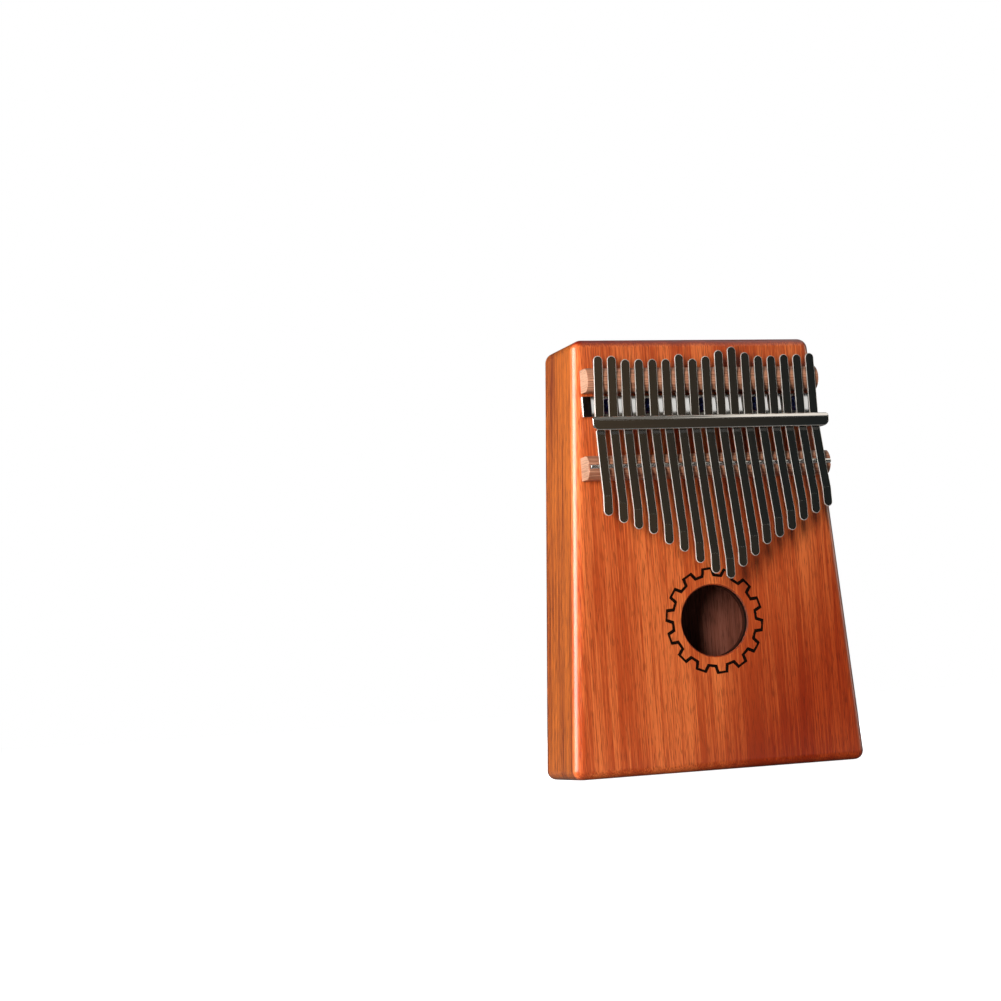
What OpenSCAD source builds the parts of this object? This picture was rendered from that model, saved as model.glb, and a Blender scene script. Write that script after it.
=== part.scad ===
// A seventeen-key box thumb piano: flat spring-steel tines clamped over a bridge on a hollow wooden box.
// Sizes are millimetres. The box stands on its wide end: X runs across it, Z is up, the tines face -Y,
// and the origin is the middle of the bottom face.

/* [Box] */
// Height of the box
body_height = 185; // [175:1:220]
// Width across the wide bottom end
bottom_width = 135; // [125:1:160]
// Width across the narrow top end
top_width = 110.5; // [110:0.5:122]
// Thickness of the box from front to back
body_thickness = 39; // [32:0.5:50]
// Radius rounded on every outer edge and corner
edge_radius = 4; // [2:0.5:4.5]
// Thickness of the soundboard
soundboard_t = 5; // [4.5:0.25:8]
// Thickness of the back plate
back_t = 5; // [4.5:0.25:8]
// Thickness of the two side planks
side_t = 7; // [5:0.5:10]
// Thickness of the head block across the top end
head_t = 8; // [5:0.5:12]
// Thickness of the tail block across the bottom end
tail_t = 8; // [5:0.5:14]
// Thickness of the pin block behind the soundboard
pin_block_t = 12; // [10:0.5:16]
// How far the pin block reaches below the middle of the bridge
pin_block_drop = 9; // [6:0.5:14]

/* [Sound hole] */
// Diameter of the sound hole
hole_d = 30.4; // [24:0.2:34]
// Height of the middle of the sound hole above the bottom face
hole_z = 63.2; // [50:0.2:66]
// Width of the chamfer round the sound hole
hole_chamfer = 0.5; // [0.2:0.1:1]

/* [Toothed line] */
// Number of teeth in the burnt line round the hole
teeth = 14; // [8:1:20]
// Radius of the line along the tips of the teeth
tooth_tip_r = 22.3; // [21.5:0.1:26]
// Radius of the line between the teeth
tooth_root_r = 19.4; // [18.5:0.1:20.5]
// Half the angle of a tooth at its tip
tooth_tip_angle = 5.2; // [3:0.1:6]
// Half the angle of a tooth at its root
tooth_root_angle = 7.8; // [6.2:0.1:8.5]
// Direction of the first tooth, turned up from the right
tooth_phase = -8; // [-25:0.5:25]
// Width of the burnt line
line_w = 1.1; // [0.6:0.1:1.6]
// Depth of the burnt line
line_depth = 0.3; // [0.2:0.1:0.8]

/* [Backstop] */
// Distance of the middle of the backstop below the top end
backstop_drop = 18.6; // [15:0.2:22]
// Width of the backstop
backstop_w = 10; // [8:0.2:11]
// Height of the backstop above the soundboard
backstop_h = 8.9; // [8:0.1:9.3]
// How far the backstop runs past the row of tines at each end
backstop_overhang = 1.5; // [0.5:0.1:2.5]
// Radius of the crowns of both wooden bars
crown_radius = 5.7; // [5.6:0.1:9]

/* [Bridge] */
// Distance from the middle of the backstop down to the middle of the bridge
bridge_drop = 37.2; // [35:0.2:42]
// Width of the bridge bar
bridge_w = 10; // [8:0.2:11]
// Height of the bridge bar above the soundboard
bridge_h = 9.7; // [8.9:0.1:10]
// How far the bridge bar runs past the row of tines at each end
bridge_overhang = 3.8; // [1:0.1:5]
// Diameter of the steel rod on the bridge
rod_d = 2.1; // [1.6:0.1:3]
// Height of the middle of the rod above the soundboard
rod_h = 9.85; // [9.5:0.05:10.4]
// How far the rod stops short of the bridge bar at each end
rod_short = 0.5; // [0.2:0.1:1.5]
// Room round the rod in its groove
rod_clearance = 0.05; // [0.02:0.01:0.15]

/* [Clamp] */
// Distance from the middle of the backstop down to the middle of the clamp plate
plate_drop = 10.8; // [10.4:0.1:11.4]
// Width of the clamp plate
plate_w = 9; // [8:0.1:9.4]
// Thickness of the clamp plate
plate_t = 2.4; // [2:0.1:3.6]
// How far the clamp plate runs past the row of tines at each end
plate_overhang = 2; // [0.5:0.1:2.5]
// Distance from the middle of the backstop down to the middle of the pressure bar
press_drop = 19.4; // [19.2:0.1:20.6]
// Width of the pressure bar
press_w = 5.8; // [5:0.1:6.4]
// Height of the underside of the pressure bar above the soundboard
press_under = 9.8; // [9.4:0.05:10.1]
// Thickness of the pressure bar
press_t = 4.2; // [3.6:0.1:6]
// Radius of the shoulder over the face of the pressure bar
press_shoulder = 2.2; // [1.2:0.1:2.6]
// Angle through which the shoulder turns
press_turn = 64; // [45:1:80]
// Angle at which the face of the pressure bar leans down
press_lean = 3.5; // [1:0.5:8]
// Radius along the lower front edge of the pressure bar
press_toe = 0.5; // [0.2:0.1:1]
// Radius of the shallow curve under the pressure bar
press_belly = 11; // [8:0.5:20]
// Radius of the lower corners at the ends of the pressure bar
press_corner = 2.8; // [0.6:0.1:3.2]
// Thickness of the face of the pressure bar at its ends
press_rim = 0.8; // [0.5:0.1:2]
// Angle at which the ends of the pressure bar are cut back behind its face
press_undercut = 35; // [5:1:40]
// How far the pressure bar runs past the row of tines at each end
press_overhang = 2.3; // [0.5:0.1:3]
// Thickness of the lugs that stand between the tines
lug_t = 1.4; // [1:0.1:1.6]
// Width of the lugs along the tines
lug_w = 4.4; // [3.6:0.1:4.6]
// How far each lug is let into the pressure bar
lug_tenon = 1.2; // [0.6:0.1:1.8]
// Room round each lug in the pressure bar
lug_clearance = 0.05; // [0.02:0.01:0.15]

/* [Clamp screws] */
// Distance of the inner screws from the middle screw
screw_inner = 25; // [20:0.2:30]
// Distance of the outer screws from the middle screw
screw_outer = 43.8; // [38:0.2:47]
// Diameter of a screw's shank
screw_d = 3.4; // [2.5:0.1:4]
// Length of a screw under its head
screw_length = 15; // [11:0.5:17]
// Diameter of a screw's head
screw_head_d = 6.4; // [5.4:0.1:7]
// Height of a screw's head
screw_head_h = 1.9; // [1.4:0.1:2.4]
// Height of the straight rim of a screw's head
screw_rim_h = 1.1; // [0.6:0.1:1.3]
// Diameter of the flat crown of a screw's head
screw_crown_d = 5.2; // [4.4:0.1:5.3]
// Width of the cross recess in a screw's head
recess_w = 0.8; // [0.6:0.1:1.2]
// Length of the cross recess in a screw's head
recess_length = 3.6; // [2.6:0.1:4.2]
// Depth of the cross recess in a screw's head
recess_depth = 1; // [0.5:0.1:1.2]
// Room round each shank in its hole
screw_clearance = 0.1; // [0.05:0.05:0.3]

/* [Tines] */
// Width of a tine
tine_w = 4; // [3:0.1:4.2]
// Thickness of a tine
tine_t = 1; // [0.7:0.05:1.2]
// Distance between the middles of neighbouring tines at the bridge
tine_pitch = 6.3; // [6.1:0.05:6.4]
// Angle that each tine turns out from its inner neighbour
tine_fan = 0.17; // [0:0.01:0.2]
// Length of the longest tine from the bridge rod to its tip
longest_tine = 49.6; // [44:0.2:51]
// Length that the scale adds to every tine for its stiff bent tip
tip_stiffness = 3.5; // [0:0.1:5]
// Angle at which the free ends rise from the soundboard
blade_rise = 10.5; // [6:0.25:13]
// Length of the flat playing tip of each tine
tip_flat = 7.5; // [5:0.25:9]
// Radius of the bend before the flat tip
tip_bend = 8; // [4:0.5:14]
// Gap between a tine and each bar that holds it
seat_gap = 0.3; // [0.25:0.05:0.4]
// Gap at the bridge between the held root and the springing blade of a tine
spring_gap = 0.35; // [0.3:0.05:0.5]

/* [Hidden] */
$fn = 64;
// How far each tine is pushed up past the middle of the backstop, from the left
tine_tail = [9.5, 9.5, 8, 8, 8, 8, 10, 8, 9, 11.5, 13, 10.5, 9, 9, 9.5, 9.5, 10];
// How far each tine is tuned longer than the scale asks, from the left
tine_trim = [-0.5, 0.5, 0, -0.5, 0, 0, 0, 0.5, 0, 1, 0.5, 0.5, 1, 1, 0.5, 0, 0];
// Semitones from the keynote up to each step of a major scale
major_scale = [0, 2, 4, 5, 7, 9, 11];
// A bar's pitch goes with the inverse square of its length, so an octave of 12 semitones halves it in 24
semitones_per_half = 24;
// Steps along the bend of a tine's tip
bend_steps = 6;
// Steps along the round corner of a side plank
arc_steps = 24;
// Steps along the round corner of the pressure bar
corner_steps = 8;
// Facets in a full turn of the rounded rim of a board
rim_facets = 32;
// Positions of the lugs, in tine pitches from the middle
lug_places = [-7.5 : 3 : 7.5];
// Flat edge left behind a rounding, so that no board ends in a knife edge
least_land = 0.5;
// How far a cutting shape runs past the face that it opens
past = 1;

tine_count = len(tine_tail);
middle_tine = (tine_count - 1) / 2;

backstop_z = body_height - backstop_drop;
bridge_z = backstop_z - bridge_drop;
plate_z = backstop_z - plate_drop;
press_z = backstop_z - press_drop;

front_y = -body_thickness / 2;
back_y = body_thickness / 2;
front_inner_y = front_y + soundboard_t;
back_inner_y = back_y - back_t;

taper = (bottom_width - top_width) / 2 / body_height;
lean = atan(taper);
edge_r = min(edge_radius, min(soundboard_t, back_t, side_t) - least_land);

tine_row = (tine_count - 1) * tine_pitch + tine_w;
backstop_length = tine_row + 2 * backstop_overhang;
bridge_length = tine_row + 2 * bridge_overhang;
rod_length = bridge_length - 2 * rod_short;
plate_length = tine_row + 2 * plate_overhang;
press_length = tine_row + 2 * press_overhang;

// Half the width of the box at height z, taken in by a distance square to the side
function half_width(z, inset = 0) = bottom_width / 2 - z * taper - inset / cos(lean);

// Points along an arc round a centre
function arc(centre, r, from, to) = [for (k = [0 : arc_steps])
    let (angle = from + (to - from) * k / arc_steps)
    centre + r * [cos(angle), sin(angle)]];

// Corners of the front outline taken in by the edge radius, from the bottom left round to the top left
corner_low = [half_width(edge_r, edge_r), edge_r];
corner_high = [half_width(body_height - edge_r, edge_r), body_height - edge_r];
corners = [[-corner_low.x, corner_low.y], corner_low, corner_high, [-corner_high.x, corner_high.y]];
// Direction that each edge of the outline faces, from the bottom edge round to the left edge
edge_facing = [-90, lean, 90, 180 - lean];

// Centre lines of the tines, as heights above the soundboard
wrap_r = rod_d / 2 + seat_gap + tine_t / 2;
press_mid = press_under - seat_gap - tine_t / 2;
backstop_mid = backstop_h + seat_gap + tine_t / 2;
tail_slope = (backstop_mid - press_mid) / (backstop_z - press_z);
press_reach = press_z - bridge_z;
root_rise = atan2(rod_h - press_mid, press_reach) + asin(wrap_r / norm([press_reach, rod_h - press_mid]));

// Distance between neighbouring tines at height z
function pitch_at(z) = tine_pitch - tan(tine_fan) * (z - bridge_z);

// Step of the scale that a tine plays: the keynote in the middle, then left and right by turns
function scale_step(i) = i >= middle_tine ? 2 * (i - middle_tine) : 2 * (middle_tine - i) - 1;
function semitones(i) = 12 * floor(scale_step(i) / len(major_scale))
    + major_scale[scale_step(i) % len(major_scale)];
function tine_length(i) = (longest_tine + tip_stiffness) * pow(2, -semitones(i) / semitones_per_half)
    - tip_stiffness + tine_trim[i];

// Places along a tine are distances down from the bridge rod, paired with heights above the soundboard
function tail_place(i) = bridge_z - backstop_z - tine_tail[i];
function tail_height(place) = press_mid - (place + press_reach) * tail_slope;
function line_height(place, rise) = rod_h + wrap_r / cos(rise) + place * tan(rise);

function root_path(i) = [
    [tail_place(i), tail_height(tail_place(i))],
    [-press_reach, press_mid],
    [-spring_gap / 2, line_height(-spring_gap / 2, root_rise)]
];

function bend_start(i) = tine_length(i) - tip_flat - tip_bend * sin(blade_rise);
function bend_top(i) = line_height(bend_start(i), blade_rise) + tip_bend * (1 - cos(blade_rise));
function blade_path(i) = concat(
    [[spring_gap / 2, line_height(spring_gap / 2, blade_rise)]],
    [for (k = [0 : bend_steps])
        let (angle = blade_rise * (1 - k / bend_steps))
        [tine_length(i) - tip_flat - tip_bend * sin(angle), bend_top(i) - tip_bend * (1 - cos(angle))]],
    [[tine_length(i), bend_top(i)]]
);

// Outline of a strip along a path, in depth and height for a shape that is drawn across the box
function strip(path) = concat(
    [for (p = path) [-p.y - tine_t / 2, -p.x]],
    [for (k = [len(path) - 1 : -1 : 0]) [-path[k].y + tine_t / 2, -path[k].x]]
);

function tine_name(i, piece) = str("tine_", i < 9 ? "0" : "", i + 1, "_", piece);

// Draws a front-view shape as a board from one depth back to another
module upright(from_y, to_y) {
    translate([0, to_y, 0])
        rotate([90, 0, 0])
            linear_extrude(to_y - from_y)
                children();
}

// Draws a side-view shape, in depth and height, across the box
module across(length) {
    translate([-length / 2, 0, 0])
        rotate([90, 0, 90])
            linear_extrude(length)
                children();
}

// A round hole from front to back
module drill(x, z, d, from_y, to_y) {
    translate([x, to_y, z])
        rotate([90, 0, 0])
            cylinder(d = d, h = to_y - from_y);
}

// Section of a board's rim: square behind, rounded in front
module rim_section(thickness) {
    translate([0, edge_r])
        square([edge_r, thickness - edge_r]);
    intersection() {
        translate([0, edge_r])
            circle(edge_r);
        square(edge_r);
    }
}

// A whole board lying on its rounded face: a flat field, stretched out to four rounded corners
module rounded_board(thickness) {
    translate([-top_width / 4, body_height / 4, 0])
        cube([top_width / 2, body_height / 2, thickness]);
    hull()
        for (k = [0 : 3]) {
            before = edge_facing[(k + 3) % 4];
            translate(corners[k])
                rotate(before)
                    rotate_extrude(angle = (edge_facing[k] - before + 360) % 360, $fn = rim_facets)
                        rim_section(thickness, $fn = rim_facets);
        }
}

// A board standing as the back of the box, rounded face outwards
module back_board(thickness) {
    translate([0, back_y, 0])
        rotate([90, 0, 0])
            rounded_board(thickness);
}

// One closed run of the toothed line, moved out by a distance
module toothed_shape(out) {
    step = 360 / teeth;
    tip_r = tooth_tip_r + out;
    root_r = tooth_root_r + out;
    tip_angle = tooth_tip_angle + atan(out / tooth_tip_r);
    root_angle = tooth_root_angle + atan(out / tooth_root_r);
    polygon([for (k = [0 : teeth - 1],
                  point = [[root_r, -root_angle], [tip_r, -tip_angle], [tip_r, tip_angle], [root_r, root_angle]])
        let (angle = tooth_phase + k * step + point.y)
        point.x * [cos(angle), sin(angle)]]);
}

module toothed_line() {
    translate([0, 0, hole_z])
        upright(front_y - past, front_y + line_depth)
            difference() {
                toothed_shape(line_w / 2);
                toothed_shape(-line_w / 2);
            }
}

module sound_hole() {
    drill(0, hole_z, hole_d, front_y - past, front_inner_y + past);
    translate([0, front_y + hole_chamfer, hole_z])
        rotate([90, 0, 0])
            cylinder(d1 = hole_d, d2 = hole_d + 2 * (hole_chamfer + past), h = hole_chamfer + past);
}

module screw_holes(from_y, to_y) {
    for (x = [-screw_outer, -screw_inner, 0, screw_inner, screw_outer])
        drill(x, plate_z, screw_d + 2 * screw_clearance, from_y, to_y);
}

module soundboard() {
    color("sienna")
        difference() {
            mirror([0, 1, 0])
                back_board(soundboard_t);
            sound_hole();
            toothed_line();
            screw_holes(front_y - past, front_inner_y + past);
        }
}

module back_plate() {
    color("sienna")
        back_board(back_t);
}

// The right-hand side plank, with its two outer corners rounded
module side_plank() {
    upright(front_inner_y, back_inner_y)
        polygon(concat(
            [[half_width(0, side_t), 0]],
            arc(corner_low, edge_r, -90, lean),
            arc(corner_high, edge_r, lean, 90),
            [[half_width(body_height, side_t), body_height]]
        ));
}

module right_side() {
    color("chocolate")
        side_plank();
}

module left_side() {
    color("chocolate")
        mirror([1, 0, 0])
            side_plank();
}

// A block fitted between the side planks from one height to another
module fitted_block(low, high, from_y, to_y) {
    upright(from_y, to_y)
        polygon([
            [-half_width(low, side_t), low], [half_width(low, side_t), low],
            [half_width(high, side_t), high], [-half_width(high, side_t), high]
        ]);
}

module head_block() {
    color("peru")
        fitted_block(body_height - head_t, body_height, front_inner_y, back_inner_y);
}

module tail_block() {
    color("peru")
        fitted_block(0, tail_t, front_inner_y, back_inner_y);
}

module pin_block() {
    color("burlywood")
        difference() {
            fitted_block(bridge_z - pin_block_drop, body_height - head_t,
                front_inner_y, front_inner_y + pin_block_t);
            screw_holes(front_inner_y - past, front_inner_y + pin_block_t + past);
        }
}

// Section of a wooden bar on the soundboard: flat sides under a round crown
module bar_section(z, width, height) {
    translate([front_y, z])
        intersection() {
            translate([-height, -width / 2])
                square([height, width]);
            translate([crown_radius - height, 0])
                circle(crown_radius);
        }
}

module backstop_bar() {
    color("tan")
        across(backstop_length)
            bar_section(backstop_z, backstop_w, backstop_h);
}

module bridge_bar() {
    groove_w = rod_d + 2 * rod_clearance;
    groove_floor = rod_h - rod_d / 2 - rod_clearance;
    color("tan")
        across(bridge_length)
            difference() {
                bar_section(bridge_z, bridge_w, bridge_h);
                translate([front_y - bridge_h - past, bridge_z - groove_w / 2])
                    square([bridge_h + past - groove_floor, groove_w]);
            }
}

module bridge_rod() {
    color("silver")
        translate([-rod_length / 2, front_y - rod_h, bridge_z])
            rotate([0, 90, 0])
                cylinder(d = rod_d, h = rod_length);
}

// Side view of one lug: a foot that joins the clamp plate, and a stem up into the pressure bar
module lug_section(room) {
    stem_h = press_under + lug_tenon + room;
    translate([front_y - stem_h, press_z - lug_w / 2 - room])
        square([stem_h, lug_w + 2 * room]);
    translate([front_y - plate_t, press_z])
        square([plate_t, plate_z - press_z]);
}

module lugs(room = 0) {
    for (k = lug_places)
        translate([k * pitch_at(press_z), 0, 0])
            across(lug_t + 2 * room)
                lug_section(room);
}

module clamp_plate() {
    color("gainsboro")
        difference() {
            union() {
                translate([-plate_length / 2, front_y - plate_t, plate_z - plate_w / 2])
                    cube([plate_length, plate_t, plate_w]);
                lugs();
            }
            screw_holes(front_y - plate_t - past, front_y + past);
        }
}

// One pan-head screw with a cross recess, its head resting on the plane y = 0 and its shank along +Y
module pan_screw() {
    rotate([90, 0, 0])
        difference() {
            union() {
                translate([0, 0, -screw_length])
                    cylinder(d = screw_d, h = screw_length);
                cylinder(d = screw_head_d, h = screw_rim_h);
                translate([0, 0, screw_rim_h])
                    cylinder(d1 = screw_head_d, d2 = screw_crown_d, h = screw_head_h - screw_rim_h);
            }
            for (turn = [45, 135])
                rotate(turn)
                    translate([-recess_length / 2, -recess_w / 2, screw_head_h - recess_depth])
                        cube([recess_length, recess_w, recess_depth + past]);
        }
}

module clamp_screws() {
    color("slategray")
        for (x = [-screw_outer, -screw_inner, 0, screw_inner, screw_outer])
            translate([x, front_y - plate_t, plate_z])
                pan_screw();
}

// Takes the square lower corner off the right-hand end of the pressure bar
module press_corner_cut() {
    outer = press_corner + past;
    turn = 90 / corner_steps;
    upright(front_y - press_under - press_t - past, front_y)
        translate([press_length / 2 - press_corner, press_z - press_w / 2 + press_corner])
            polygon(concat(
                [[0, -outer], [outer, -outer], [outer, 0]],
                [for (k = [0 : corner_steps]) press_corner * [cos(k * turn), -sin(k * turn)]]
            ));
}

// Cuts the right-hand end of the pressure bar back behind its face
module press_end_cut() {
    depth = press_t + past;
    slant = tan(press_undercut);
    translate([press_length / 2, front_y - press_under - press_t + press_rim, press_z - press_w])
        linear_extrude(2 * press_w)
            polygon([[past, -past / slant], [past, depth], [-depth * slant, depth]]);
}

// Section of the pressure bar: a leaning face under a round shoulder, over a shallow curve
module press_section() {
    low = -press_w / 2;
    high = press_w / 2;
    shoulder = [press_shoulder - press_t, high - press_shoulder * sin(press_turn)];
    shoulder_top = shoulder + press_shoulder * [-cos(press_turn), sin(press_turn)];
    face_top = shoulder - press_shoulder * [cos(press_lean), sin(press_lean)];
    face_length = (face_top.y + press_toe * sin(press_lean) - low - press_toe) / cos(press_lean);
    face_low = face_top + face_length * [sin(press_lean), -cos(press_lean)];
    toe = face_low + press_toe * [cos(press_lean), sin(press_lean)];
    intersection() {
        translate([-press_t, low])
            square([press_t, press_w]);
        translate([-press_belly, 0])
            circle(press_belly);
        union() {
            translate(shoulder)
                circle(press_shoulder);
            translate(toe)
                circle(press_toe);
            polygon([shoulder, face_top, face_low, toe, [toe.x, low], [0, low], [0, high], shoulder_top]);
        }
    }
}

module pressure_bar() {
    color("gainsboro")
        difference() {
            across(press_length)
                translate([front_y - press_under, press_z])
                    press_section();
            lugs(lug_clearance);
            for (side = [0, 1])
                mirror([side, 0, 0]) {
                    press_corner_cut();
                    press_end_cut();
                }
        }
}

// Sets a piece of a tine at its place in the row, turned out with the fan
module tine_seat(i) {
    out = i - middle_tine;
    translate([out * tine_pitch, front_y, bridge_z])
        rotate([0, -out * tine_fan, 0])
            children();
}

// A strip along a path with a round end at one place and a square end at the other
module round_ended_strip(path, square_end, round_end) {
    inward = sign(square_end - round_end);
    centre = round_end + inward * tine_w / 2;
    reach = max([for (p = path) p.y]) + tine_t;
    intersection() {
        across(tine_w)
            polygon(strip(path));
        upright(-reach, 0)
            union() {
                translate([-tine_w / 2, min(-centre, -square_end)])
                    square([tine_w, abs(square_end - centre)]);
                translate([0, -centre])
                    circle(d = tine_w);
            }
    }
}

module tine_root(i) {
    color("darkgray")
        tine_seat(i)
            round_ended_strip(root_path(i), -spring_gap / 2, tail_place(i));
}

module tine_blade(i) {
    color("darkgray")
        tine_seat(i)
            round_ended_strip(blade_path(i), spring_gap / 2, tine_length(i));
}

soundboard();
back_plate();
left_side();
right_side();
head_block();
tail_block();
pin_block();
backstop_bar();
bridge_bar();
bridge_rod();
clamp_plate();
clamp_screws();
pressure_bar();
for (i = [0 : tine_count - 1]) {
    tine_root(i);
    tine_blade(i);
}
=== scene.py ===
"""Dresses a packed box thumb piano in lacquered wood and polished steel, on a plain studio stage."""

import math

import bmesh
import bpy
from bmesh.types import BMEdge, BMFace, BMVert
from bpy.props import FloatProperty, FloatVectorProperty, IntProperty, PointerProperty
from bpy.types import Operator, Panel, PropertyGroup
from mathutils import Matrix, Vector


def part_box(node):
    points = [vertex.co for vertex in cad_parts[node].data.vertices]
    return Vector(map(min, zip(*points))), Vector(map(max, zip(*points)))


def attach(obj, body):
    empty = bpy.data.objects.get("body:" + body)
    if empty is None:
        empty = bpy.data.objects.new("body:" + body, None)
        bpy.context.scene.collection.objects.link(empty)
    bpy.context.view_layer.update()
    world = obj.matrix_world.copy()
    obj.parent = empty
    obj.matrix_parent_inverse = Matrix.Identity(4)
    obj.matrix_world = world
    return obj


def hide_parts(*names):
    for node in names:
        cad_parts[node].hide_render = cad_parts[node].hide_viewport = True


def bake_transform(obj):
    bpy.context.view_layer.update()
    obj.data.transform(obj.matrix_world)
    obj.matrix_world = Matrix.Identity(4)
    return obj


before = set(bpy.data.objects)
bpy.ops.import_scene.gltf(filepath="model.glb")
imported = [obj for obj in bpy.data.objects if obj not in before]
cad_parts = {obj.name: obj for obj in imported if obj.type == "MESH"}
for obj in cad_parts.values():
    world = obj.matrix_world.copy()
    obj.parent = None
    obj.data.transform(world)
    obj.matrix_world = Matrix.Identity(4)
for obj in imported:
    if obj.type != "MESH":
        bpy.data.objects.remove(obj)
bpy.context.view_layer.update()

bl_info = {
    "name": "Box Thumb Piano",
    "version": (1, 0, 0),
    "blender": (4, 5, 0),
    "location": "3D View > Sidebar > Thumb Piano",
    "description": "Builds the wood, the tines and the studio of a box thumb piano round its packed frame",
    "category": "Object",
}

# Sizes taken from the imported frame, in metres
BOARD_LOW, BOARD_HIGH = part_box("soundboard")
BACK_LOW, BACK_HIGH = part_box("back_plate")
ROD_LOW, ROD_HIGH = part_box("bridge_rod")
PRESS_LOW, PRESS_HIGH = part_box("pressure_bar")
PLATE_LOW, PLATE_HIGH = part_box("clamp_plate")
BACKSTOP_LOW, BACKSTOP_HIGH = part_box("backstop_bar")
BRIDGE_LOW, BRIDGE_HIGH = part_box("bridge_bar")
FRONT_Y = BOARD_LOW.y
BODY_HEIGHT = BOARD_HIGH.z
ROD_RADIUS = (ROD_HIGH.z - ROD_LOW.z) / 2
BRIDGE_Z = (ROD_LOW.z + ROD_HIGH.z) / 2
PRESS_Z = (PRESS_LOW.z + PRESS_HIGH.z) / 2
TINE_COUNT = sum(name.endswith("_blade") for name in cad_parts)
MIDDLE_TINE = (TINE_COUNT - 1) / 2

# Points nearer than this are one point
MERGE = 1e-6
# Edges turned more than this stay sharp
SHARP_ANGLE = math.radians(35)

# Radii eased on sharp edges; the rod's is a share of its own radius
BAR_EASE = 0.00025
PLATE_EASE = 0.0003
ROD_EASE = 0.25
# Gap round the rod in its groove
ROD_CLEARANCE = 0.00005
# Where the lugs stand, in tine pitches from the middle, and how far they run into the plate
LUG_PLACES = (-7.5, -4.5, -1.5, 1.5, 4.5, 7.5)
LUG_OVERLAP = 0.0004
# Steps in each lower corner of the pressure bar
CORNER_STEPS = 8

# Share of a tine's half width that its round ends take, and the share within which their points are one
END_SHARE = 0.998
END_MERGE = 0.01
# Length over which a tine bends at the pressure bar and at the rod
GRIP = 0.003
# Rows along the free blade, so that it can bend smoothly
BLADE_ROWS = 24

# Finishes of each kind of piece, in the order of its material slots
# The last board finish is painted shade on the back of the hole's wall
BOARD_FINISHES = ("lacquered_front", "burnt_line", "scorched_wall", "raw_inside", "bare_rim", "browned_wall")
SIDE_FINISHES = {side: ("lacquered_" + side, "raw_inside") for side in ("left", "right", "back")}
# The bars' ends take a paler copy of their wood: end-grain figure with painted light, as if lit from the side
BAR_FINISHES = ("oiled_bar", "end_grain")
TINE_FINISHES = ("polished_steel", "ground_edge", "dull_steel")


# Settings

def metres(name, description, default):
    """A length in metres that a user can change."""
    return FloatProperty(name=name, description=description, default=default, unit="LENGTH")


def degrees(name, description, default):
    """An angle that a user can change."""
    return FloatProperty(name=name, description=description, default=math.radians(default), subtype="ANGLE")


def rgb(name, description, default):
    """A colour that a user can change."""
    return FloatVectorProperty(
        name=name, description=description, default=default, subtype="COLOR", min=0, max=1)


def brightness(name, description, default):
    """The brightness of something, which a user can change."""
    return FloatProperty(name=name, description="Brightness of " + description, default=default, min=0)


class BoxSettings(PropertyGroup):
    """Sizes of the wooden box."""

    bottom_width: metres("Bottom Width", "Width across the wide bottom end", 0.135)
    top_width: metres("Top Width", "Width across the narrow top end", 0.1105)
    side_thickness: metres("Side Thickness", "Thickness of the side planks", 0.007)
    edge_radius: metres("Edge Radius", "Radius rounded on the outer edges", 0.00415)
    hole_height: metres("Hole Height", "Height of the middle of the sound hole", 0.0632)
    hole_radius: metres("Hole Radius", "Radius of the sound hole", 0.0152)
    hole_chamfer: metres("Hole Chamfer", "Width of the chamfer round the hole", 0.0005)
    teeth: IntProperty(name="Teeth", description="Number of teeth in the burnt line", default=14, min=3)
    tooth_tip_radius: metres("Tooth Tips", "Radius of the burnt line at the tips", 0.0223)
    tooth_root_radius: metres("Tooth Roots", "Radius of the burnt line at the roots", 0.0194)
    tooth_tip_angle: degrees("Tip Angle", "Half the angle of a tooth at its tip", 5.2)
    tooth_root_angle: degrees("Root Angle", "Half the angle of a tooth at its root", 7.8)
    tooth_phase: degrees("First Tooth", "Direction of the first tooth, turned up from the right", -8)
    line_width: metres("Line Width", "Width of the burnt line", 0.0011)
    line_depth: metres("Line Depth", "Depth of the burnt line", 0.0003)
    scorch_depth: metres("Scorch Depth", "Depth of the scorched part of the hole's wall", 0.0019)
    crown_radius: metres("Crown Radius", "Radius of the crowns of the wooden bars", 0.0057)
    bridge_height: metres("Bridge Height", "Height of the bridge's crown before it is grooved", 0.0097)


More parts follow.
